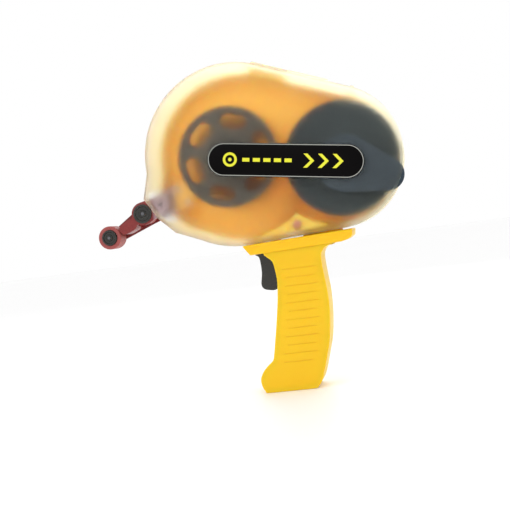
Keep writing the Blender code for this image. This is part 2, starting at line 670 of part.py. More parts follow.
def make_nose(parts, cutters, bracket_material, hub_material, sleeve_material, steel):
    """Roller bracket with three free rollers on cross pins."""
    bracket = flat_solid(
        "roller_bracket", [capsule(ARM_TIP, GUIDE_PLATE)], *FAR_PLATE_Y, parts, bracket_material)
    along = math.atan2(APPLICATOR[1] - GUIDE[1], APPLICATOR[0] - GUIDE[0])
    bridge = (*polar(GUIDE[:2], 0.0152, along + 0.14), BRIDGE_RADIUS)
    bridge_end = (*polar(GUIDE[:2], 0.0215, along + 0.08), BRIDGE_RADIUS - 0.0002)
    near, far = NEAR_PLATE_Y[0], FAR_PLATE_Y[1]
    blocks = (
        ("bracket_body", GUIDE_PLATE, BRACKET_FOOT, *FAR_PLATE_Y),
        ("bracket_near", GUIDE_PLATE, INNER_PLATE, *NEAR_PLATE_Y),
        ("bracket_bridge", bridge, bridge_end, near, far),
        ("bracket_link", (*GUIDE[:2], LINK_RADIUS), (*bridge[:2], LINK_RADIUS), *NEAR_PLATE_Y))
    for name, first, second, y_low, y_high in blocks:
        join_to(bracket, flat_solid(name, [capsule(first, second)], y_low, y_high, cutters), cutters)
    for index, centre in enumerate((APPLICATOR[:2], GUIDE[:2], INNER[:2], *BRACKET_SCREWS)):
        y_low = -0.0200 if index < 3 else 0.0050
        hole = rod("bracket_hole_%d" % index, centre, BORE_RADIUS, y_low, 0.0200, cutters, steps=16)
        cut_from(bracket, hole, cutters)
    near_y, far_y = ROLLER_Y
    rollers = (
        ("applicator", APPLICATOR, HUB_STEP, near_y - 0.0022), ("guide", GUIDE, 0.0, near - 0.0012),
        ("inner", INNER, 0.0, near - 0.0012))
    for name, (x, z, radius), step, pin_near in rollers:
        core = radius * HUB_SHARE
        tube(name + "_core", (x, z), core, BORE_RADIUS, near_y - step, far_y, parts, hub_material)
        tube(name + "_sleeve", (x, z), radius, core + GAP, near_y, far_y, parts, sleeve_material, steps=24)
        rod(name + "_pin", (x, z), PIN_RADIUS, pin_near, far + 0.0002, parts, steel, steps=16)
    washer_y = (near - 0.0015, near - GAP)
    tube("guide_washer", GUIDE[:2], WASHER_RADIUS, BORE_RADIUS, *washer_y, parts, hub_material)


def make_latch(parts, cutters, material, steel):
    """Teardrop lever inside the cover; its rounded end stands out of the rear wall."""
    head = (*LATCH_PIVOT, LATCH_HEAD_RADIUS)
    tip = (*LATCH_TIP, LATCH_TIP_RADIUS)
    lever = flat_solid("cover_latch", [capsule(head, tip, 16)], LATCH_Y[0], LATCH_Y[1], parts, material)
    round_edges(lever, 0.0008, 1)
    cut_from(lever, rod("lever_bore", LATCH_PIVOT, BORE_RADIUS, -0.0300, -0.0200, cutters), cutters)
    profile = [
        (0.0, -0.0224), (0.0042, -0.0224), (0.0042, LATCH_Y[1] + GAP), (PIN_RADIUS, LATCH_Y[1] + GAP),
        (PIN_RADIUS, -0.0289), (0.0, -0.0289)]
    turned("latch_pin", LATCH_PIVOT, profile, parts, steel, steps=20)


def make_label(parts, material):
    """Blank stadium plate on the front of the cover."""
    half = (LABEL_SIZE[0] - LABEL_SIZE[1]) / 2
    left = (*polar(LABEL_CENTRE, -half, LABEL_TILT), LABEL_SIZE[1] / 2)
    right = (*polar(LABEL_CENTRE, half, LABEL_TILT), LABEL_SIZE[1] / 2)
    far = COVER_Y - GAP
    flat_solid("label_plate", [capsule(left, right, 16)], far - LABEL_THICKNESS, far, parts, material)


def make_screws(parts, steel):
    """Screws of the grip, of the roller bracket and on the end of the cover post."""
    face = GRIP_HALF + GAP
    for word, centre in zip(("lower", "upper"), HANDLE_SCREWS):
        profile = [
            (0.0, face + 0.0018), (0.0026, face + 0.0018), (0.0034, face + 0.0008), (0.0034, face),
            (PIN_RADIUS, face), (PIN_RADIUS, -0.0105), (0.0, -0.0105)]
        turned("handle_screw_" + word, centre, profile, parts, steel, steps=16)
    face = FAR_PLATE_Y[0] - GAP
    for word, centre in zip(("upper", "lower"), BRACKET_SCREWS):
        profile = [
            (0.0, 0.0215), (PIN_RADIUS, 0.0215), (PIN_RADIUS, face), (0.0030, face),
            (0.0030, face - 0.0012), (0.0022, face - 0.0018), (0.0, face - 0.0018)]
        turned("bracket_screw_" + word, centre, profile, parts, steel, steps=16)
    face = POST_END_Y - GAP
    end = POST_END_Y + 0.0094
    profile = [
        (0.0, end), (PIN_RADIUS, end), (PIN_RADIUS, face), (0.0040, face),
        (0.0040, face - 0.0012), (0.0030, face - 0.0020), (0.0, face - 0.0020)]
    turned("case_screw", POST_XZ, profile, parts, steel, steps=16)


def build():
    clear_scene()
    parts = new_collection("transfer_tape_applicator")
    cutters = new_collection("cutters")
    yellow = make_material("yellow_grip", (0.95, 0.52, 0.03), 0.35)
    orange = make_material("orange_tray", (0.92, 0.42, 0.05), 0.40)
    frosted = make_material("frosted_cover", (0.90, 0.88, 0.84), 0.45)
    slate = make_material("slate_disc", (0.045, 0.055, 0.065), 0.45)
    black = make_material("black_trigger", (0.020, 0.018, 0.016), 0.35)
    label = make_material("label_black", (0.008, 0.008, 0.007), 0.30)
    red = make_material("red_bracket", (0.42, 0.06, 0.05), 0.35)
    sleeve = make_material("red_sleeve", (0.45, 0.12, 0.11), 0.60)
    steel = make_material("plain_steel", (0.60, 0.60, 0.60), 0.30, 1.0)
    gear = make_material("amber_gear", (0.90, 0.42, 0.06), 0.45)
    make_frame(parts, cutters, orange)
    make_handle_cover(parts, cutters, yellow)
    make_case_cover(parts, cutters, frosted)
    make_label(parts, label)
    along_hinge("hinge_pin", PIN_RADIUS - GAP, *HINGE_PIN, parts, steel, steps=12)
    make_latch(parts, cutters, slate, steel)
    make_gears(parts, gear)
    make_reel("supply", SUPPLY_XZ, SUPPLY_DISC, parts, cutters, gear, slate, windows=False)
    make_reel("takeup", takeup_centre(), TAKEUP_DISC, parts, cutters, gear, slate, windows=True)
    make_axles(parts, steel, slate)
    make_trigger(parts, cutters, black, steel, gear, sleeve)
    make_nose(parts, cutters, red, black, sleeve, steel)
    make_screws(parts, steel)


build()
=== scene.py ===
"""Looks of a hand-held transfer tape applicator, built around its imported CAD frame."""
import json
import math

import bmesh
import bpy
from mathutils import Matrix, Vector


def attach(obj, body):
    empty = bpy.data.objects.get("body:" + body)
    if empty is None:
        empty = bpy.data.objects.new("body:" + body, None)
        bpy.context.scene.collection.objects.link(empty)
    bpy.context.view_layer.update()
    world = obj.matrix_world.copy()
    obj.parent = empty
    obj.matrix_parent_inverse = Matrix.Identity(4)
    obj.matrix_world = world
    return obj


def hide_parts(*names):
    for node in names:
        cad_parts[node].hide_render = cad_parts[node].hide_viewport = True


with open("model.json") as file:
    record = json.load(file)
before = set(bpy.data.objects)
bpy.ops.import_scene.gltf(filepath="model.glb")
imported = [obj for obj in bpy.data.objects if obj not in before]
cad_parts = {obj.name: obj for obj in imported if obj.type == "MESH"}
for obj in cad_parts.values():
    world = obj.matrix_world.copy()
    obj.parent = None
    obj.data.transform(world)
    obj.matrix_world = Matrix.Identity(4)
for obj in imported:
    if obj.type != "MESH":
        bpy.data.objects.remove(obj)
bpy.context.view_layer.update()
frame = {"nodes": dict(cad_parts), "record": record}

GAP = 0.0003
FINE = 0.0001

# Casing: two round lobes, (x, z, radius), and a spout in front given by angle and height.
FRONT_LOBE = (-0.0216, 0.2118, 0.0795)
REAR_LOBE = (0.0615, 0.1978, 0.0615)
SPOUT = ((math.radians(198), 0.0102), (math.radians(211), 0.0085), (math.radians(225), 0.0059))
SPOUT_FROM = math.radians(184)
SPOUT_TO = math.radians(242)
COVER_Y = -0.0300
COVER_RIM_Y = 0.0140
PAN_RIM_Y = 0.0090
PAN_Y = 0.0270
WALL = 0.0022
PAN_INSET = 0.0036
COVER_EDGE = 0.0090
PAN_EDGE = 0.0055

# Reels.
FLANGE_Y = (-0.0118, -0.0088)
SUPPLY_DISC = 0.0505
TAKEUP_DISC = 0.0452
AXLE_RADIUS = 0.0035
IDLER_AXLE = 0.0025
SEAT_END_Y = 0.0240
BOSS_Y = (0.0206, 0.0253)
BOSS_RADIUS = 0.0070
WINDOWS = 6
WINDOW_RING = 0.0325
WINDOW_RADIUS = 0.0063
WINDOW_REACH = 0.0055
WINDOW_TURN = math.radians(14)

# Grip.
FAR_HALF_Y = -0.0017
NEAR_HALF_Y = FAR_HALF_Y - GAP
GRIP_HALF = 0.0180
FLANGE_HALF = 0.0200
GRIP_WALL = 0.0025
GRIP_EDGE = 0.0065
GRIP_OUTLINE = (
    (-0.0060, 0.1250), (-0.0020, 0.1150), (-0.0005, 0.1060), (0.0000, 0.0970),
    (-0.0010, 0.0880), (-0.0025, 0.0775), (-0.0058, 0.0595), (-0.0088, 0.0450),
    (-0.0112, 0.0335), (-0.0132, 0.0280), (-0.0188, 0.0233), (-0.0232, 0.0184),
    (-0.0257, 0.0130), (-0.0255, 0.0075), (-0.0232, 0.0022), (-0.0185, 0.0000),
    (0.0185, 0.0000), (0.0252, 0.0024), (0.0292, 0.0090), (0.0324, 0.0180),
    (0.0362, 0.0300), (0.0392, 0.0405), (0.0412, 0.0530), (0.0427, 0.0670),
    (0.0430, 0.0820), (0.0420, 0.0950), (0.0412, 0.1080), (0.0416, 0.1165),
    (0.0456, 0.1222), (0.0520, 0.1260),
)
SHELF_OUTLINE = (
    (-0.0268, 0.1318), (-0.0207, 0.1229), (0.0600, 0.1250), (0.0660, 0.1262),
    (0.0704, 0.1290), (0.0712, 0.1350),
)
SHELF_WEBS = ((-0.0240, -0.0130), (0.0240, 0.0600))
SHELF_WEB_Y = (0.0146, 0.0230)
SHELF_WEB_Z = (0.1260, 0.1410)
SHELF_FAR_Y = 0.0250
SHELF_EDGE = 0.0011
HANDLE_SCREWS = ((0.0130, 0.0358), (0.0215, 0.0958))
SCREW_BOSS = (0.0045, 0.0165)
POST_XZ = (0.0234, 0.1447)
POST_RADIUS = 0.0055
POST_END_Y = -0.0140
WELL_FRONT = 0.0737
WELL_REAR = 0.0570
LAND_Y = (POST_END_Y, -0.0118)
LAND_INSET = 0.0044
LAND_FROM = math.radians(279)
LAND_TO = math.radians(258)
GROOVES = 12
GROOVE_LOW = 0.0258
GROOVE_HIGH = 0.1071
GROOVE_REACH = 0.0132
GROOVE_STAGGER = 0.0010
GROOVE_RADIUS = 0.00042
GROOVE_DEPTH = 0.0005

# Trigger.
TRIGGER_PIVOT = (-0.0055, 0.1272)
TRIGGER_HALF = 0.0058
TRIGGER_BOSS = 0.0035
TRIGGER_OUTLINE = (
    (-0.0095, 0.1283), (-0.0150, 0.1258), (-0.0184, 0.1224), (-0.0152, 0.1192), (-0.0146, 0.1065),
    (-0.0163, 0.0960), (-0.0148, 0.0918), (-0.0105, 0.0899), (-0.0035, 0.0896),
    (0.0000, 0.0955), (0.0020, 0.1058), (0.0020, 0.1178), (-0.0010, 0.1283),
)
TRIGGER_SLOT = ((-0.0200, 0.0870), (0.0070, 0.1312))
BOSS_CAVITY = ((-0.0105, 0.0050, 0.1229), (-0.0005, 0.0196, 0.1430))
ARM_WINDOW = ((-0.0120, 0.0146, 0.1229), (0.0125, 0.0197, 0.1510))
TRIGGER_PIN_Y = (-0.0115, 0.0217)
BORE_RADIUS = 0.0018
PIN_RADIUS = 0.0015

# Nose rollers: (x, z, radius).
APPLICATOR = (-0.1499, 0.1547, 0.0106)
GUIDE = (-0.1151, 0.1723, 0.0092)
INNER = (-0.0970, 0.1790, 0.0072)
HUB_SHARE = 0.66
ROLLER_Y = (-0.0080, 0.0100)
HUB_STEP = 0.0016
NEAR_PLATE_Y = (-0.0108, -0.0085)
FAR_PLATE_Y = (0.0105, 0.0132)
GUIDE_PLATE = (*GUIDE[:2], 0.0104)
INNER_PLATE = (*INNER[:2], 0.0078)
ARM_TIP = (*APPLICATOR[:2], 0.0060)
BRACKET_FOOT = (-0.0812, 0.1850, 0.0120)
BRACKET_SCREWS = ((-0.0845, 0.1912), (-0.0765, 0.1776))
BRACKET_BOSS = 0.0042
BRIDGE_RADIUS = 0.0054
LINK_RADIUS = 0.0042
WASHER_RADIUS = 0.0086
# Corners of the spout's opening: distance from the front lobe's middle, and degrees round it.
NOSE_CORNERS = ((0.0650, 193), (0.1000, 195), (0.1000, 215), (0.0650, 219))

# Cover latch, hinge and label.
LATCH_PIVOT = (0.0726, 0.1913)
LATCH_TIP = (0.1075, 0.1769)
LATCH_HEAD_RADIUS = 0.0245
LATCH_TIP_RADIUS = 0.0139
LATCH_Y = (-0.0272, -0.0242)
LATCH_SLOT = ((0.1000, -0.02775, 0.1600), (0.1300, -0.0236, 0.2030))
LATCH_BORE_Y = (-0.0292, -0.0200)
HINGE_Y = 0.0145
HINGE_LIFT = 0.0033
BARREL_RADIUS = 0.0030
WEB_THICKNESS = 0.0035
WEB_TOP = 0.0033
FRAME_KNUCKLES = ((-0.0141, 0.0345), (0.0790, 0.0030))
FRAME_WEB_DROP = 0.0065
COVER_KNUCKLES = ((0.0208, 0.0370),)
COVER_WEB_DROP = 0.0010
HINGE_BORE = (-0.0200, 0.1150)
LABEL_CENTRE = (0.0222, 0.2005)
LABEL_SIZE = (0.1360, 0.0290)
LABEL_TILT = math.radians(-8.9)
LABEL_THICKNESS = 0.0008

# Camera.
LOOK_AT = Vector((-0.0197, 0.0, 0.1223))
CAMERA_AZIMUTH = math.radians(10.0)
CAMERA_HEIGHT_ANGLE = math.radians(1.5)
CAMERA_DISTANCE = 0.85
CAMERA_ROLL = math.radians(-7.5)
CAMERA_LENS = 66.7

# Lamps: name, place, height aimed at, size, power.
LAMPS = (
    ("key", (-0.5, -1.0, 0.9), 0.15, 0.9, 3.0),
    ("fill", (0.9, -0.7, 0.6), 0.15, 0.8, 1.2),
    ("back", (0.2, 1.0, 0.8), 0.18, 1.0, 4.0),
)


def joint_centre(name):
    """X and Z of a joint's axis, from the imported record."""
    for joint in frame["record"]["behaviour"]["joints"]:
        if joint["name"] == name:
            return (joint["pos_m"][0], joint["pos_m"][2])
    raise KeyError(name)


SUPPLY_XZ = joint_centre("supply_spin")
TAKEUP_XZ = joint_centre("takeup_spin")
IDLER_XZ = joint_centre("idler_spin")

parts = bpy.data.collections.new("visual")
cutters = bpy.data.collections.new("cutters")
bpy.context.scene.collection.children.link(parts)
bpy.context.scene.collection.children.link(cutters)


# ---------------------------------------------------------------- materials

class Nodes:
    """Small helper that adds and links shader nodes."""

    def __init__(self, name):
        self.material = bpy.data.materials.new(name)
        self.material.use_nodes = True
        self.tree = self.material.node_tree
        self.shader = self.tree.nodes["Principled BSDF"]
        self.output = self.tree.nodes["Material Output"]
        self.coords = self.tree.nodes.new("ShaderNodeTexCoord")

    def add(self, kind, **values):
        node = self.tree.nodes.new(kind)
        for name, value in values.items():
            if name in node.inputs:
                node.inputs[name].default_value = value
            else:
                setattr(node, name, value)
        return node

    def link(self, source, target):
        self.tree.links.new(source, target)

    def noise(self, scale, detail=3.0):
        node = self.add("ShaderNodeTexNoise")
        node.inputs["Scale"].default_value = scale
        node.inputs["Detail"].default_value = detail
        self.link(self.coords.outputs["Object"], node.inputs["Vector"])
        return node.outputs["Fac"]

    def feed(self, value, target):
        """Links another node's output, or sets a plain value."""
        if isinstance(value, bpy.types.NodeSocket):
            self.link(value, target)
        else:
            target.default_value = value

    def place(self):
        """X, Y and Z outputs of the point in the object's own frame."""
        node = self.add("ShaderNodeSeparateXYZ")
        self.link(self.coords.outputs["Object"], node.inputs["Vector"])
        return node.outputs

    def measure(self, operation, first, second):
        """Distance or dot product of two vectors."""
        node = self.add("ShaderNodeVectorMath", operation=operation)
        self.feed(first, node.inputs[0])
        self.feed(second, node.inputs[1])
        return node.outputs["Value"]

    def ramp(self, value, low, high, start=0.0, end=1.0):
        """Goes from start to end as the value goes from low to high."""
        node = self.add("ShaderNodeMapRange")
        limits = (("From Min", low), ("From Max", high), ("To Min", start), ("To Max", end))
        for name, limit in limits:
            node.inputs[name].default_value = limit
        self.link(value, node.inputs["Value"])
        return node.outputs["Result"]

    def spread(self, factor, low, high):
        """Stretches a noise value over the range from low to high."""
        return self.ramp(factor, 0.3, 0.7, low, high)

    def blend(self, factor, first, second):
        """Mix of two colours, each a plain colour or another node's output."""
        node = self.add("ShaderNodeMix", data_type="RGBA")
        targets = [s for s in node.inputs if s.type == "RGBA"]
        for colour, target in zip((first, second), targets):
            self.feed((*colour, 1.0) if isinstance(colour, tuple) else colour, target)
        self.link(factor, node.inputs["Factor"])
        return [s for s in node.outputs if s.type == "RGBA"][0]

    def bump(self, height, strength, distance):
        node = self.add("ShaderNodeBump")
        node.inputs["Strength"].default_value = strength
        node.inputs["Distance"].default_value = distance
        self.link(height, node.inputs["Height"])
        self.link(node.outputs["Normal"], self.shader.inputs["Normal"])


def linear(red, green, blue):
    """Linear values of a colour given as seen on screen, 0 to 255."""
    return tuple(
        c / 12.92 if c <= 0.04045 else ((c + 0.055) / 1.055) ** 2.4
        for c in (red / 255, green / 255, blue / 255))


def moulded_plastic(name, colour, shade, roughness, sheen=0.3, grain=1400.0, grain_depth=0.00004):
    """Moulded plastic: slow colour drift, fine spark-eroded grain, uneven gloss."""
    n = Nodes(name)
    drift = n.spread(n.noise(22.0, 4.0), 0.0, 1.0)
    n.link(n.blend(drift, colour, shade), n.shader.inputs["Base Color"])
    n.link(n.spread(n.noise(60.0, 5.0), roughness - 0.05, roughness + 0.07), n.shader.inputs["Roughness"])
    n.shader.inputs["Specular IOR Level"].default_value = sheen
    n.bump(n.noise(grain, 2.0), 0.25, grain_depth)
    return n


def lit_through(n, share):
    """Lets some light pass through thin moulded walls, red further than blue."""
    n.shader.inputs["Subsurface Weight"].default_value = share
    n.shader.inputs["Subsurface Radius"].default_value = (1.0, 0.6, 0.15)
    n.shader.inputs["Subsurface Scale"].default_value = 0.004


def tray_plastic(name, grip, tray, shade, pale):
    """Yellow outside and on the grip, pale at the hinge, orange within the tray.

    The orange within the tray is painted shade and bounced light on the same yellow plastic,
    and a darker painted shadow lies behind the take-up reel.
    """
    n = moulded_plastic(name, grip, grip, 0.38)
    lit_through(n, 1.0)
    place = n.place()
    in_plane = n.add("ShaderNodeCombineXYZ")
    n.link(place["X"], in_plane.inputs["X"])
    n.link(place["Z"], in_plane.inputs["Z"])
    distance_for_painted_shadow = n.measure("DISTANCE", in_plane.outputs["Vector"], (TAKEUP_XZ[0], 0.0, TAKEUP_XZ[1]))
    base, _, normal = hinge_frame()
    level = base.dot(normal)
    outward = n.measure("DOT_PRODUCT", n.coords.outputs["Object"], normal)
    middle = (FRONT_LOBE[0] + REAR_LOBE[0]) / 2
    radius = FRONT_LOBE[2]
    out_and_back = n.add("ShaderNodeVectorMath", operation="MULTIPLY_ADD")
    n.link(in_plane.outputs["Vector"], out_and_back.inputs[0])
    out_and_back.inputs[1].default_value = (1 / radius, 0.0, 1 / radius)
    out_and_back.inputs[2].default_value = (-middle / radius, 1.0, -FRONT_LOBE[1] / radius)
    facing = n.measure("DOT_PRODUCT", n.coords.outputs["Normal"], out_and_back.outputs["Vector"])
    shelf = SHELF_OUTLINE[2][1]
    # Painted shadow: the tray turns dark brown within the reach of the take-up reel's disc, where the disc
    # shades it.
    with_painted_reel_shadow = n.blend(n.ramp(distance_for_painted_shadow, TAKEUP_DISC * 0.80, TAKEUP_DISC * 1.05), shade, tray)
    # Painted shade: faces turned into the tray get the orange tint that stands in for shade and bounced
    # light; faces turned outwards keep the grip's yellow.
    casing = n.blend(n.ramp(facing, 0.0, 0.1), with_painted_reel_shadow, grip)
    whole = n.blend(n.ramp(place["Z"], shelf + 0.004, shelf + 0.016), grip, casing)
    with_hinge = n.blend(n.ramp(outward, level - 0.0030, level), whole, pale)
    n.link(with_hinge, n.shader.inputs["Base Color"])
    return n


def carrier_plastic(name, arm, shade, middle, foot):
    """Red arm that turns mauve at the inner roller and takes the tray's colour at its foot."""
    n = moulded_plastic(name, arm, shade, 0.28)
    colour = n.shader.inputs["Base Color"].links[0].from_socket
    along = n.place()["X"]
    for low, high, target in ((-0.0095, -0.0060, middle), (0.0078, 0.0100, foot)):
        colour = n.blend(n.ramp(along, INNER[0] + low, INNER[0] + high), colour, target)
    n.link(colour, n.shader.inputs["Base Color"])
    return n


def steel(name, colour, shade):
    n = Nodes(name)
    drift = n.spread(n.noise(400.0, 4.0), 0.0, 1.0)
    n.link(n.blend(drift, colour, shade), n.shader.inputs["Base Color"])
    n.shader.inputs["Metallic"].default_value = 1.0
    n.link(n.spread(n.noise(900.0), 0.22, 0.38), n.shader.inputs["Roughness"])
    n.bump(n.noise(1800.0), 0.2, 0.00003)
    return n


def frosted_plastic(name):
    """Frosted clear plastic: it blurs what lies behind and lets the lamps through."""
    n = Nodes(name)
    haze = n.spread(n.noise(18.0, 3.0), 0.0, 1.0)
    face = n.blend(haze, (0.995, 0.985, 0.94), (0.985, 0.975, 0.92))
    depth = n.ramp(n.place()["Y"], COVER_Y + 0.002, COVER_Y + COVER_EDGE + 0.003)
    n.link(n.blend(depth, face, (1.0, 0.965, 0.72)), n.shader.inputs["Base Color"])
    n.shader.inputs["Transmission Weight"].default_value = 1.0
    n.shader.inputs["IOR"].default_value = 1.20
    n.link(n.spread(n.noise(40.0, 3.0), 0.50, 0.58), n.shader.inputs["Roughness"])
    n.bump(n.noise(2600.0, 2.0), 0.10, 0.00002)
    path = n.add("ShaderNodeLightPath")
    clear = n.add("ShaderNodeBsdfTransparent")
    clear.inputs["Color"].default_value = (0.96, 0.955, 0.94, 1.0)
    mix = n.add("ShaderNodeMixShader")
    n.link(path.outputs["Is Shadow Ray"], mix.inputs["Fac"])
    n.link(n.shader.outputs["BSDF"], mix.inputs[1])
    n.link(clear.outputs["BSDF"], mix.inputs[2])
    n.link(mix.outputs["Shader"], n.output.inputs["Surface"])
    return n


YELLOW = moulded_plastic("yellow_plastic", linear(244, 196, 22), linear(239, 190, 17), 0.38)
lit_through(YELLOW, 0.6)
SLATE = moulded_plastic("slate_plastic", linear(58, 67, 72), linear(50, 58, 63), 0.42, 0.12)
LEVER = moulded_plastic("lever_plastic", linear(56, 67, 78), linear(49, 59, 69), 0.40, 0.15)
REEL = moulded_plastic("reel_plastic", linear(88, 84, 80), linear(78, 75, 71), 0.45, 0.12)
BLACK = moulded_plastic("black_plastic", linear(38, 36, 31), linear(30, 29, 25), 0.24, 0.5)
AMBER = moulded_plastic("amber_plastic", linear(240, 166, 60), linear(234, 158, 52), 0.40)
RED = carrier_plastic(
    "red_plastic", linear(132, 50, 48), linear(116, 38, 38), linear(158, 136, 146), linear(250, 190, 92))
SLEEVE = moulded_plastic("sleeve_rubber", linear(164, 84, 80), linear(148, 70, 68), 0.45, 0.3, 900.0)
MAUVE = moulded_plastic("mauve_rubber", linear(150, 132, 146), linear(138, 120, 134), 0.50, 0.3, 900.0)
LABEL = moulded_plastic("label_black", linear(11, 9, 10), linear(7, 6, 6), 0.30, 0.04, 2200.0, 0.00001)
PRINT = moulded_plastic(
    "label_yellow", linear(226, 224, 60), linear(218, 216, 50), 0.40, 0.2, 2200.0, 0.00001)
OUTLINE = moulded_plastic(
    "label_outline", linear(176, 178, 170), linear(160, 162, 156), 0.40, 0.2, 2200.0, 0.00001)
STEEL = steel("plain_steel", (0.55, 0.55, 0.56), (0.40, 0.40, 0.42))
DARK_STEEL = steel("dark_steel", (0.16, 0.16, 0.17), (0.10, 0.10, 0.11))
COPPERED = steel("coppered_steel", (0.62, 0.26, 0.20), (0.50, 0.20, 0.16))
FROSTED = frosted_plastic("frosted_plastic")


# ------------------------------------------------------------------- shapes

def polar(centre, radius, angle):
    return (centre[0] + radius * math.cos(angle), centre[1] + radius * math.sin(angle))


def arc(centre, radius, start, end, count):
    steps = [start + (end - start) * i / count for i in range(count + 1)]
    return [polar(centre, radius, angle) for angle in steps]


def ring(centre, radius, count):
    return arc(centre, radius, 0.0, 2 * math.pi, count)[:-1]


def tangent_angles(first, second):
    """Angles of the outer normals of the two lines that touch both circles."""
    dx = first[0] - second[0]
    dz = first[1] - second[1]
    along = math.atan2(dz, dx)
    swing = math.acos((second[2] - first[2]) / math.hypot(dx, dz))
    return along - swing, along + swing


def capsule(first, second, count=40):
    """Outline around two circles, each given as (x, z, radius)."""
    upper, lower = tangent_angles(first, second)
    outline = arc(first[:2], first[2], upper, lower, count)
    outline += arc(second[:2], second[2], lower, upper + 2 * math.pi, count)
    return outline


def smooth(points, per=5):
    """Closed curve through the points, Catmull-Rom, never below the floor."""
    result = []
    count = len(points)
    for i in range(count):
        a, b, c, d = (Vector(points[(i + k) % count]) for k in (-1, 0, 1, 2))
        long_run = (c - b).length > 0.030
        for step in range(1 if long_run else per):
            t = step / per
            p = 0.5 * (2 * b + (c - a) * t + (2 * a - 5 * b + 4 * c - d) * t ** 2
                       + (3 * b - a - 3 * c + d) * t ** 3)
            result.append((p.x, max(p.y, 0.0)))
    return result


def casing_outline(inset):
    """Both lobes with the spout, every point moved inwards by the inset."""
    upper, lower = tangent_angles(FRONT_LOBE, REAR_LOBE)
    centre = FRONT_LOBE[:2]
    radius = FRONT_LOBE[2] - inset
    outline = arc(centre, radius, upper, SPOUT_FROM, 56)
    for angle, height in SPOUT:
        outline.append(polar(centre, radius + height, angle))
    outline += arc(centre, radius, SPOUT_TO, lower, 14)
    outline += arc(REAR_LOBE[:2], REAR_LOBE[2] - inset, lower, upper + 2 * math.pi, 80)
    return outline


def add_piece(name, mesh, material=None, collection=None):
    piece = bpy.data.objects.new(name, mesh)
    (collection or parts).objects.link(piece)
    if material:
        mesh.materials.clear()
        mesh.materials.append(material.material)
    return piece


def flat_solid(name, rings, y_near, y_far, material=None, collection=None):
    """Closed solid: a flat outline in XZ, with any holes, between two values of y."""
    curve = bpy.data.curves.new(name, "CURVE")
    curve.dimensions = "2D"
    curve.fill_mode = "BOTH"
    curve.extrude = (y_far - y_near) / 2
    for points in rings:
        spline = curve.splines.new("POLY")
        spline.points.add(len(points) - 1)
        for target, (x, z) in zip(spline.points, points):
            target.co = (x, z, 0.0, 1.0)
        spline.use_cyclic_u = True
    holder = bpy.data.objects.new(name + "_curve", curve)
    (collection or parts).objects.link(holder)
    holder.rotation_euler = (math.pi / 2, 0.0, 0.0)
    holder.location = (0.0, (y_near + y_far) / 2, 0.0)
    bpy.context.view_layer.update()
    mesh = bpy.data.meshes.new_from_object(
        holder.evaluated_get(bpy.context.evaluated_depsgraph_get()))
    mesh.transform(holder.matrix_world)
    bpy.data.objects.remove(holder, do_unlink=True)
    shape = bmesh.new()
    shape.from_mesh(mesh)
    bmesh.ops.remove_doubles(shape, verts=shape.verts, dist=FINE / 10)
    bmesh.ops.recalc_face_normals(shape, faces=shape.faces)
    shape.to_mesh(mesh)
    shape.free()
    mesh.name = name
    return add_piece(name, mesh, material, collection)


def turned(name, centre, profile, material=None, collection=None, steps=64):
    """Solid turned about a line along Y; profile is (radius, y), far end first."""
    mesh = bpy.data.meshes.new(name)
    points = [(radius, 0.0, y) for radius, y in profile]
    edges = [(i, (i + 1) % len(points)) for i in range(len(points))]
    edges = [pair for pair in edges if max(profile[i][0] for i in pair) > 0.0]
    mesh.from_pydata(points, edges, [])
    shape = bmesh.new()
    shape.from_mesh(mesh)
    turn = Matrix.Rotation(-math.pi / 2, 4, "X")
    bmesh.ops.spin(
        shape, geom=list(shape.verts) + list(shape.edges), axis=(0.0, 0.0, 1.0), cent=(0.0, 0.0, 0.0),
        angle=2 * math.pi, steps=steps, use_merge=True)
    bmesh.ops.remove_doubles(shape, verts=shape.verts, dist=FINE / 10)
    bmesh.ops.transform(
        shape, verts=shape.verts, matrix=Matrix.Translation((centre[0], 0.0, centre[1])) @ turn)
    bmesh.ops.recalc_face_normals(shape, faces=shape.faces)
    shape.to_mesh(mesh)
    shape.free()
    return add_piece(name, mesh, material, collection)


def rod(name, centre, radius, y_near, y_far, material=None, collection=None, steps=48):
    profile = [(0.0, y_far), (radius, y_far), (radius, y_near), (0.0, y_near)]
    return turned(name, centre, profile, material, collection, steps)


def box(name, low, high, collection):
    mesh = bpy.data.meshes.new(name)
    shape = bmesh.new()
    bmesh.ops.create_cube(shape, size=1.0)
    bmesh.ops.scale(shape, verts=shape.verts, vec=[b - a for a, b in zip(low, high)])
    bmesh.ops.translate(shape, verts=shape.verts, vec=[(a + b) / 2 for a, b in zip(low, high)])
    shape.to_mesh(mesh)
    shape.free()
    return add_piece(name, mesh, None, collection)


def boolean(piece, tool, operation):
    step = piece.modifiers.new(operation.lower(), "BOOLEAN")
    step.operation = operation
    step.solver = "MANIFOLD"
    step.object = tool


def join_to(piece, tool):
    boolean(piece, tool, "UNION")


def cut_from(piece, tool):
    boolean(piece, tool, "DIFFERENCE")


def round_edges(piece, width, segments=4, angle=40):
    bevel = piece.modifiers.new("edges", "BEVEL")
    bevel.width = width
    bevel.segments = segments
    bevel.limit_method = "ANGLE"
    bevel.angle_limit = math.radians(angle)


def settle(piece, sharp=35):
    """Applies every modifier, then shades smooth between the sharp edges."""
    bpy.context.view_layer.update()
    mesh = bpy.data.meshes.new_from_object(
        piece.evaluated_get(bpy.context.evaluated_depsgraph_get()))
    tools = [m.object for m in piece.modifiers if m.type == "BOOLEAN"]
    piece.modifiers.clear()
    piece.data = mesh
    for tool in tools:
        bpy.data.objects.remove(tool, do_unlink=True)
    mesh.shade_smooth()
    mesh.set_sharp_from_angle(angle=math.radians(sharp))
    return piece


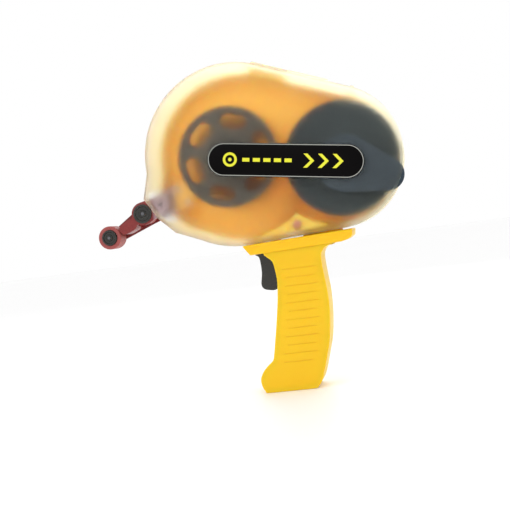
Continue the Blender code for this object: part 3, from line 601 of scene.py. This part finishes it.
def dished_shell(name, outline, y_open, y_closed, edge, wall, material=None, collection=None):
    """Open tray: flat bottom at y_closed with a rounded edge, walls up to y_open."""
    low, high = sorted((y_open, y_closed))
    piece = flat_solid(name, [outline], low, high, material, collection)
    shape = bmesh.new()
    shape.from_mesh(piece.data)
    floor_edges = []
    for border in shape.edges:
        at_floor = all(abs(v.co.y - y_closed) < FINE for v in border.verts)
        sides = [abs(face.normal.y) for face in border.link_faces]
        if at_floor and min(sides) < 0.5 < max(sides):
            floor_edges.append(border)
    bmesh.ops.bevel(
        shape, geom=floor_edges, offset=edge, segments=10, profile=0.5, affect="EDGES",
        clamp_overlap=True)
    mouth = [f for f in shape.faces if all(abs(v.co.y - y_open) < FINE for v in f.verts)]
    bmesh.ops.delete(shape, geom=mouth, context="FACES")
    shape.to_mesh(piece.data)
    shape.free()
    thicken = piece.modifiers.new("wall", "SOLIDIFY")
    thicken.thickness = wall
    thicken.offset = -1.0
    thicken.use_even_offset = True
    return piece


# ------------------------------------------------------------------- casing

def hinge_frame():
    """Start, direction and outward normal of the flat run on top of the casing."""
    upper, _ = tangent_angles(FRONT_LOBE, REAR_LOBE)
    normal = Vector((math.cos(upper), 0.0, math.sin(upper)))
    start = Vector((FRONT_LOBE[0], 0.0, FRONT_LOBE[1])) + normal * FRONT_LOBE[2]
    return start, Vector((normal.z, 0.0, -normal.x)), normal


def along_hinge(name, radius, start, length, steps=32):
    base, direction, normal = hinge_frame()
    middle = base + direction * (start + length / 2) + normal * HINGE_LIFT
    middle.y = HINGE_Y
    mesh = bpy.data.meshes.new(name)
    shape = bmesh.new()
    bmesh.ops.create_cone(
        shape, cap_ends=True, segments=steps, radius1=radius, radius2=radius, depth=length)
    turn = Vector((0.0, 0.0, 1.0)).rotation_difference(direction).to_matrix().to_4x4()
    bmesh.ops.transform(shape, verts=shape.verts, matrix=Matrix.Translation(middle) @ turn)
    shape.to_mesh(mesh)
    shape.free()
    return add_piece(name, mesh, None, cutters)


def knuckle(name, run, y_low, y_high, drop):
    """Web from the hinge barrel down into a wall."""
    base, direction, normal = hinge_frame()
    start, length = run
    corners = []
    for distance, lift in (
            (start, -drop), (start + length, -drop), (start + length, WEB_TOP), (start, WEB_TOP)):
        point = base + direction * distance + normal * lift
        corners.append((point.x, point.z))
    return flat_solid(name, [corners], y_low, y_high, None, cutters)


def add_hinge(piece, runs, y_low, y_high, drop):
    """Knuckles on their webs, bored through for the pin."""
    for index, run in enumerate(runs):
        join_to(piece, knuckle("%s_web_%d" % (piece.name, index), run, y_low, y_high, drop))
        barrel = along_hinge("%s_barrel_%d" % (piece.name, index), BARREL_RADIUS, *run)
        round_edges(barrel, 0.0005, 3)
        settle(barrel)
        join_to(piece, barrel)
    cut_from(piece, along_hinge(piece.name + "_hinge_bore", BORE_RADIUS - GAP, *HINGE_BORE))


def nose_cutter(name, y_low, y_high):
    """Block that opens the front of the spout between its upper and lower corners."""
    corners = [polar(FRONT_LOBE[:2], reach, math.radians(turn)) for reach, turn in NOSE_CORNERS]
    return flat_solid(name, [corners], y_low, y_high, None, cutters)


def trigger_space(piece):
    """Slot that the trigger swings in, and the hole for its pin."""
    half = TRIGGER_HALF + 2 * GAP
    (x_low, z_low), (x_high, z_high) = TRIGGER_SLOT
    cut_from(piece, box(piece.name + "_slot", (x_low, -half, z_low), (x_high, half, z_high), cutters))
    near, far = TRIGGER_PIN_Y
    hole = piece.name + "_pin_hole"
    cut_from(piece, rod(hole, TRIGGER_PIVOT, BORE_RADIUS, near - 0.0005, far + 0.0005, None, cutters))


def land_outline():
    """Web between the round wells of the two reels, down to the bottom wall."""
    front, rear = FRONT_LOBE[:2], REAR_LOBE[:2]
    _, lower = tangent_angles(FRONT_LOBE, REAR_LOBE)
    span = math.dist(front, rear)
    along = math.atan2(rear[1] - front[1], rear[0] - front[0])
    front_turn = math.acos((WELL_FRONT ** 2 + span ** 2 - WELL_REAR ** 2) / (2 * WELL_FRONT * span))
    rear_turn = math.acos((WELL_REAR ** 2 + span ** 2 - WELL_FRONT ** 2) / (2 * WELL_REAR * span))
    outline = arc(front, WELL_FRONT, LAND_FROM, along + 2 * math.pi - front_turn, 24)
    outline += arc(rear, WELL_REAR, along + math.pi + rear_turn, LAND_TO, 24)[1:]
    for lobe, angle in ((REAR_LOBE, LAND_TO), (FRONT_LOBE, LAND_FROM)):
        reach = (lobe[2] - LAND_INSET) / math.cos(angle - lower)
        outline.append(polar(lobe[:2], reach, angle))
    return outline


def rounded_shelf(name, y_low, y_high):
    shelf = flat_solid(name, [SHELF_OUTLINE], y_low, y_high, None, cutters)
    round_edges(shelf, SHELF_EDGE, 3, 25)
    return settle(shelf)


def make_tray():
    """Far tray with its bosses, the shelf and the far half of the grip."""
    # Second colour: painted orange shade and bounced light within the tray; third: painted shadow behind the
    # take-up reel.
    orange = tray_plastic(
        "tray_plastic", linear(238, 190, 26), linear(255, 205, 96), linear(116, 74, 40),
        linear(250, 226, 196))
    tray = dished_shell("tray", casing_outline(PAN_INSET), PAN_RIM_Y, PAN_Y, PAN_EDGE, WALL, orange)
    join_to(tray, rounded_shelf("shelf_far", FAR_HALF_Y, SHELF_FAR_Y))
    for index, (x_low, x_high) in enumerate(SHELF_WEBS):
        low = (x_low, SHELF_WEB_Y[0], SHELF_WEB_Z[0])
        high = (x_high, SHELF_WEB_Y[1], SHELF_WEB_Z[1])
        join_to(tray, box("shelf_web_%d" % index, low, high, cutters))
    grip = dished_shell(
        "grip_far", smooth(GRIP_OUTLINE), FAR_HALF_Y, GRIP_HALF, GRIP_EDGE, GRIP_WALL, None, cutters)
    join_to(tray, settle(grip))
    for index, (centre, radius) in enumerate(
            ((SUPPLY_XZ, AXLE_RADIUS), (TAKEUP_XZ, AXLE_RADIUS), (IDLER_XZ, IDLER_AXLE))):
        join_to(tray, rod("boss_%d" % index, centre, BOSS_RADIUS, *BOSS_Y, None, cutters))
        seat = rod("seat_%d" % index, centre, radius + GAP, BOSS_Y[0] - 0.002, SEAT_END_Y, None, cutters)
        cut_from(tray, seat)
    join_to(tray, rod("post", POST_XZ, POST_RADIUS, POST_END_Y, BOSS_Y[1], None, cutters))
    join_to(tray, flat_solid("land", [land_outline()], *LAND_Y, None, cutters))
    low, high = POST_END_Y - 0.006, POST_END_Y + 0.010
    cut_from(tray, rod("post_bore", POST_XZ, BORE_RADIUS, low, high, None, cutters))
    for index, centre in enumerate(BRACKET_SCREWS):
        foot = rod("foot_%d" % index, centre, BRACKET_BOSS, FAR_PLATE_Y[1] + GAP, BOSS_Y[1], None, cutters)
        join_to(tray, foot)
    radius, end = SCREW_BOSS
    for index, centre in enumerate(HANDLE_SCREWS):
        join_to(tray, rod("screw_boss_%d" % index, centre, radius, FAR_HALF_Y, end, None, cutters))
        cut_from(tray, rod("screw_bore_%d" % index, centre, BORE_RADIUS, -0.005, 0.030, None, cutters))
    add_hinge(tray, FRAME_KNUCKLES, HINGE_Y, HINGE_Y + WEB_THICKNESS, FRAME_WEB_DROP)
    trigger_space(tray)
    cut_from(tray, box("boss_cavity", *BOSS_CAVITY, cutters))
    cut_from(tray, box("arm_window", *ARM_WINDOW, cutters))
    cut_from(tray, nose_cutter("tray_nose", 0.0005, FAR_PLATE_Y[1] + 2 * GAP))
    settle(tray)
    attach(tray, "frame")
    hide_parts("main_frame")


def make_grip_cover():
    """Near half of the grip, with its shelf and the fine grip lines."""
    cover = flat_solid("grip_cover", [SHELF_OUTLINE], -FLANGE_HALF, NEAR_HALF_Y, YELLOW)
    round_edges(cover, SHELF_EDGE, 3, 25)
    grip = dished_shell(
        "grip_near", smooth(GRIP_OUTLINE), NEAR_HALF_Y, -GRIP_HALF, GRIP_EDGE, GRIP_WALL, None, cutters)
    join_to(cover, settle(grip))
    trigger_space(cover)
    for index in range(GROOVES):
        z = GROOVE_LOW + (GROOVE_HIGH - GROOVE_LOW) * index / (GROOVES - 1)
        middle = grip_middle(z)
        stagger = GROOVE_STAGGER * math.cos(math.pi * index)
        first = (middle - GROOVE_REACH + stagger, z, GROOVE_RADIUS)
        second = (middle + GROOVE_REACH - stagger, z, GROOVE_RADIUS)
        groove = flat_solid(
            "groove_%d" % index, [capsule(first, second, 6)], -GRIP_HALF - 0.001,
            -GRIP_HALF + GROOVE_DEPTH, None, cutters)
        cut_from(cover, groove)
    settle(cover)
    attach(cover, "frame")
    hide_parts("handle_cover")


def grip_middle(z):
    """Middle of the grip at one height, from its outline."""
    crossings = []
    for i, (x0, z0) in enumerate(GRIP_OUTLINE):
        x1, z1 = GRIP_OUTLINE[(i + 1) % len(GRIP_OUTLINE)]
        if (z0 - z) * (z1 - z) < 0:
            crossings.append(x0 + (x1 - x0) * (z - z0) / (z1 - z0))
    return (min(crossings) + max(crossings)) / 2


def make_case_cover():
    cover = dished_shell(
        "casing_cover", casing_outline(0.0), COVER_RIM_Y, COVER_Y, COVER_EDGE, WALL, FROSTED)
    add_hinge(cover, COVER_KNUCKLES, HINGE_Y - WEB_THICKNESS, HINGE_Y, COVER_WEB_DROP)
    cut_from(cover, nose_cutter("lid_nose", -0.0200, 0.0200))
    cut_from(cover, box("latch_slot", *LATCH_SLOT, cutters))
    cut_from(cover, rod("latch_bore", LATCH_PIVOT, BORE_RADIUS, *LATCH_BORE_Y, None, cutters))
    settle(cover)
    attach(cover, "cover")
    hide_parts("case_cover")


# ------------------------------------------------------------------ details

def label_capsule(inset, count=40):
    half = (LABEL_SIZE[0] - LABEL_SIZE[1]) / 2
    radius = LABEL_SIZE[1] / 2 - inset
    left = (*polar(LABEL_CENTRE, -half, LABEL_TILT), radius)
    right = (*polar(LABEL_CENTRE, half, LABEL_TILT), radius)
    return capsule(left, right, count)


def on_label(along, across):
    """Point of the label plane from its centre, along and across the plate."""
    return polar(polar(LABEL_CENTRE, along, LABEL_TILT), across, LABEL_TILT + math.pi / 2)


def make_label():
    far = COVER_Y - GAP
    near = far - LABEL_THICKNESS
    plate = flat_solid("label_black_plate", [label_capsule(0.0)], near, far, LABEL)
    round_edges(plate, 0.0003, 3)
    settle(plate)
    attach(plate, "cover")
    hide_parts("label_plate")
    top = near - 0.00006
    rings = [label_capsule(0.0006), label_capsule(0.0012)]
    line = flat_solid("label_line", rings, top, near + 0.0001, OUTLINE)
    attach(line, "cover")
    make_print(top, near + 0.0001)


def make_print(top, under):
    """Generic printed marks: a tape-roll symbol, a row of dashes and three arrows."""
    centre = on_label(-0.0480, 0.0)
    marks = [[ring(centre, 0.0062, 40), ring(centre, 0.0040, 36)], [ring(centre, 0.0016, 24)]]
    dash = ((0.0, -0.0016), (0.0062, -0.0016), (0.0062, 0.0016), (0.0, 0.0016))
    arrow = ((0.0, 0.0060), (0.0034, 0.0060), (0.0094, 0.0), (0.0034, -0.0060), (0.0, -0.0060), (0.0060, 0.0))
    for corners, count, first, pitch in ((dash, 5, -0.0370, 0.0092), (arrow, 3, 0.0160, 0.0125)):
        for step in range(count):
            start = first + pitch * step
            marks.append([[on_label(start + along, across) for along, across in corners]])
    for index, rings in enumerate(marks):
        mark = flat_solid("label_mark_%02d" % index, rings, top, under, PRINT)
        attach(mark, "cover")


def make_disc(name, node, body, centre, radius, windows, material):
    """Front disc of a reel: rolled rim, shallow dish, raised hub ring."""
    bore = AXLE_RADIUS + GAP
    near, far = FLANGE_Y
    profile = [(bore, far), (radius - 0.0012, far)]
    for step in range(7):
        angle = math.pi / 2 - math.pi * step / 6
        middle = (near + far) / 2
        profile.append((radius - 0.0015 * (1 - math.cos(angle)), middle + 0.0015 * math.sin(angle)))
    profile += [
        (radius - 0.0050, near), (radius - 0.0062, near + 0.0008), (radius * 0.47, near + 0.0011),
        (radius * 0.45, near + 0.0004), (radius * 0.37, near + 0.0004), (radius * 0.35, near + 0.0011),
        (0.0125, near + 0.0011), (0.0115, near), (bore, near)]
    disc = turned(name, centre, profile, material, None, 128)
    if windows:
        swing = WINDOW_REACH / WINDOW_RING
        for index in range(WINDOWS):
            angle = WINDOW_TURN + index * 2 * math.pi / WINDOWS
            first = (*polar(centre, WINDOW_RING, angle - swing), WINDOW_RADIUS)
            second = (*polar(centre, WINDOW_RING, angle + swing), WINDOW_RADIUS)
            outline = capsule(first, second, 20)
            cut_from(disc, flat_solid("window_%d" % index, [outline], -0.020, 0.0, None, cutters))
    settle(disc)
    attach(disc, body)
    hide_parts(node)


def make_latch():
    head = (*LATCH_PIVOT, LATCH_HEAD_RADIUS)
    tip = (*LATCH_TIP, LATCH_TIP_RADIUS)
    lever = flat_solid("latch_lever", [capsule(head, tip, 48)], LATCH_Y[0], LATCH_Y[1], LEVER)
    round_edges(lever, 0.0011, 4)
    cut_from(lever, rod("lever_bore", LATCH_PIVOT, BORE_RADIUS, -0.03, -0.02, None, cutters))
    settle(lever)
    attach(lever, "latch")
    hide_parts("cover_latch")


def make_trigger():
    trigger = flat_solid("trigger_blade", [smooth(TRIGGER_OUTLINE, 6)], -TRIGGER_HALF, TRIGGER_HALF, BLACK)
    round_edges(trigger, 0.0026, 5, 50)
    join_to(trigger, rod("trigger_boss", TRIGGER_PIVOT, TRIGGER_BOSS, -TRIGGER_HALF, 0.0149, None, cutters))
    cut_from(trigger, rod("trigger_bore", TRIGGER_PIVOT, BORE_RADIUS, -0.01, 0.03, None, cutters))
    settle(trigger)
    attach(trigger, "trigger_lever")
    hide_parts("trigger")


def make_bracket():
    """Red carrier of the three nose rollers."""
    near_y, far_y = NEAR_PLATE_Y[0], FAR_PLATE_Y[1]
    bracket = flat_solid("nose_carrier", [capsule(ARM_TIP, GUIDE_PLATE)], *FAR_PLATE_Y, RED)
    along = math.atan2(APPLICATOR[1] - GUIDE[1], APPLICATOR[0] - GUIDE[0])
    bridge = (*polar(GUIDE[:2], 0.0152, along + 0.14), BRIDGE_RADIUS)
    bridge_end = (*polar(GUIDE[:2], 0.0215, along + 0.08), BRIDGE_RADIUS - 0.0002)
    blocks = (
        ("carrier_body", GUIDE_PLATE, BRACKET_FOOT, *FAR_PLATE_Y),
        ("carrier_near", GUIDE_PLATE, INNER_PLATE, *NEAR_PLATE_Y),
        ("carrier_bridge", bridge, bridge_end, near_y, far_y),
        ("carrier_link", (*GUIDE[:2], LINK_RADIUS), (*bridge[:2], LINK_RADIUS), *NEAR_PLATE_Y))
    for name, first, second, low, high in blocks:
        block = flat_solid(name, [capsule(first, second)], low, high, None, cutters)
        round_edges(block, 0.0004, 3)
        join_to(bracket, settle(block))
    for index, centre in enumerate((APPLICATOR[:2], GUIDE[:2], INNER[:2], *BRACKET_SCREWS)):
        low = -0.0200 if index < 3 else 0.0050
        hole = "carrier_hole_%d" % index
        cut_from(bracket, rod(hole, centre, BORE_RADIUS, low, 0.0200, None, cutters))
    settle(bracket)
    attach(bracket, "frame")
    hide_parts("roller_bracket")


def make_washer():
    """Dark retaining washer on the guide roller's pin, turned with a raised ring."""
    near = NEAR_PLATE_Y[0] - 0.0015
    far = NEAR_PLATE_Y[0] - GAP
    r = WASHER_RADIUS
    washer = turned("guide_retainer", GUIDE[:2], [
        (BORE_RADIUS, far), (r - 0.0002, far), (r, far - 0.0003), (r, near + 0.0004), (r - 0.0004, near),
        (r * 0.78, near), (r * 0.72, near + 0.0006), (r * 0.42, near + 0.0006), (r * 0.36, near),
        (BORE_RADIUS, near)], BLACK)
    settle(washer)
    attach(washer, "frame")
    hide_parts("guide_washer")


def make_roller(name, body, roller, rubber):
    """Red sleeve with rounded ends on a dark hub with a raised eye."""
    x, z, radius = roller
    core = radius * HUB_SHARE
    near, far = ROLLER_Y
    proud = HUB_STEP if name == "applicator" else 0.0
    edge = 0.0006
    sleeve = turned(name + "_tyre", (x, z), [
        (core + GAP, far), (radius - edge, far), (radius, far - edge), (radius, near + edge),
        (radius - edge, near), (core + GAP, near)], rubber)
    settle(sleeve)
    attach(sleeve, body)
    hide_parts(name + "_sleeve")
    face = near - proud
    hub = turned(name + "_hub", (x, z), [
        (BORE_RADIUS, far), (core, far), (core, face + 0.0004), (core - 0.0004, face),
        (core * 0.78, face), (core * 0.72, face + 0.0007), (core * 0.45, face + 0.0007),
        (core * 0.40, face + 0.0001), (BORE_RADIUS, face + 0.0001)], BLACK)
    settle(hub)
    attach(hub, body)
    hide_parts(name + "_core")


def make_screw(name, node, centre, face, direction, radius, length, metal=STEEL):
    """Pan-head screw with a cross recess; direction is -1 when the head faces -Y."""
    far_end = face - direction * length
    top = face + direction * radius * 0.55
    rise = top - face
    profile = [(0.0, top)]
    for step in range(1, 6):
        angle = math.pi / 2 * step / 5
        profile.append((radius * math.sin(angle), face + rise * (0.25 + 0.75 * math.cos(angle))))
    profile += [(radius, face), (PIN_RADIUS, face), (PIN_RADIUS, far_end), (0.0, far_end)]
    screw = turned(name, centre, profile, metal, None, 48)
    low, high = sorted((top + direction * 0.001, top - rise * 0.6))
    for index, (half_x, half_z) in enumerate(((0.6, 0.13), (0.13, 0.6))):
        start = (centre[0] - radius * half_x, low, centre[1] - radius * half_z)
        end = (centre[0] + radius * half_x, high, centre[1] + radius * half_z)
        cut_from(screw, box("%s_slot_%d" % (name, index), start, end, cutters))
    settle(screw)
    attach(screw, "frame")
    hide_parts(node)


def make_screws():
    for index, centre in enumerate(HANDLE_SCREWS):
        word = ("lower", "upper")[index]
        make_screw(
            "grip_screw_" + word, "handle_screw_" + word, centre, GRIP_HALF + GAP, 1, 0.0034, 0.0285)
    for index, centre in enumerate(BRACKET_SCREWS):
        word = ("upper", "lower")[index]
        face = FAR_PLATE_Y[0] - GAP
        make_screw("nose_screw_" + word, "bracket_screw_" + word, centre, face, -1, 0.0030, 0.0110)
    make_screw("post_screw", "case_screw", POST_XZ, POST_END_Y - GAP, -1, 0.0040, 0.0095, COPPERED)


def dress_cad_nodes():
    """Materials of the CAD nodes that stay in view."""
    kinds = {
        "steel": STEEL, "slate_plastic": SLATE, "amber_plastic": AMBER, "black_plastic": BLACK,
        "red_rubber": SLEEVE}
    slots = {entry["node"]: entry["material_slot"] for entry in frame["record"]["subparts"]}
    for name, node in frame["nodes"].items():
        roller_pin = name in ("applicator_pin", "guide_pin", "inner_pin")
        kind = DARK_STEEL if roller_pin else kinds.get(slots[name])
        if kind:
            node.data.materials.clear()
            node.data.materials.append(kind.material)


# -------------------------------------------------------------------- stage

def make_stage():
    mesh = bpy.data.meshes.new("floor")
    shape = bmesh.new()
    bmesh.ops.create_grid(shape, x_segments=1, y_segments=1, size=6.0)
    shape.to_mesh(mesh)
    shape.free()
    floor = add_piece("floor", mesh)
    n = Nodes("floor_white")
    n.link(n.blend(n.noise(2.0), (0.97, 0.97, 0.97), (0.985, 0.985, 0.985)), n.shader.inputs["Base Color"])
    n.shader.inputs["Roughness"].default_value = 0.5
    mesh.materials.append(n.material)
    floor.location.z = -0.0002
    world = bpy.data.worlds.new("studio")
    bpy.context.scene.world = world
    world.use_nodes = True
    background = world.node_tree.nodes["Background"]
    background.inputs["Color"].default_value = (1.0, 1.0, 1.0, 1.0)
    background.inputs["Strength"].default_value = 1.0


def add_lamp(name, position, aim_height, size, power):
    lamp = bpy.data.lights.new(name, "AREA")
    lamp.shape = "SQUARE"
    lamp.size = size
    lamp.energy = power
    holder = bpy.data.objects.new(name, lamp)
    bpy.context.scene.collection.objects.link(holder)
    holder.location = position
    aim = Vector((0.0, 0.0, aim_height)) - Vector(position)
    holder.rotation_euler = aim.to_track_quat("-Z", "Y").to_euler()


def make_camera():
    data = bpy.data.cameras.new("camera")
    data.lens = CAMERA_LENS
    data.sensor_width = 36.0
    camera = bpy.data.objects.new("camera", data)
    bpy.context.scene.collection.objects.link(camera)
    level = math.cos(CAMERA_HEIGHT_ANGLE) * CAMERA_DISTANCE
    offset = Vector((
        math.sin(CAMERA_AZIMUTH) * level, -math.cos(CAMERA_AZIMUTH) * level,
        math.sin(CAMERA_HEIGHT_ANGLE) * CAMERA_DISTANCE))
    aim = (-offset).to_track_quat("-Z", "Y").to_matrix().to_4x4()
    roll = Matrix.Rotation(CAMERA_ROLL, 4, "Z")
    camera.matrix_world = Matrix.Translation(LOOK_AT + offset) @ aim @ roll
    bpy.context.scene.camera = camera


make_tray()
make_grip_cover()
make_case_cover()
make_label()
make_disc("supply_front_disc", "supply_disc", "supply_reel", SUPPLY_XZ, SUPPLY_DISC, False, SLATE)
make_disc("takeup_front_disc", "takeup_disc", "takeup_reel", TAKEUP_XZ, TAKEUP_DISC, True, REEL)
make_latch()
make_trigger()
make_bracket()
make_washer()
make_roller("applicator", "applicator_roller", APPLICATOR, SLEEVE)
make_roller("guide", "guide_roller", GUIDE, SLEEVE)
make_roller("inner", "inner_roller", INNER, MAUVE)
make_screws()
dress_cad_nodes()
make_stage()
for lamp_settings in LAMPS:
    add_lamp(*lamp_settings)
make_camera()
bpy.context.scene.view_settings.view_transform = "Standard"

bpy.context.view_layer.update()
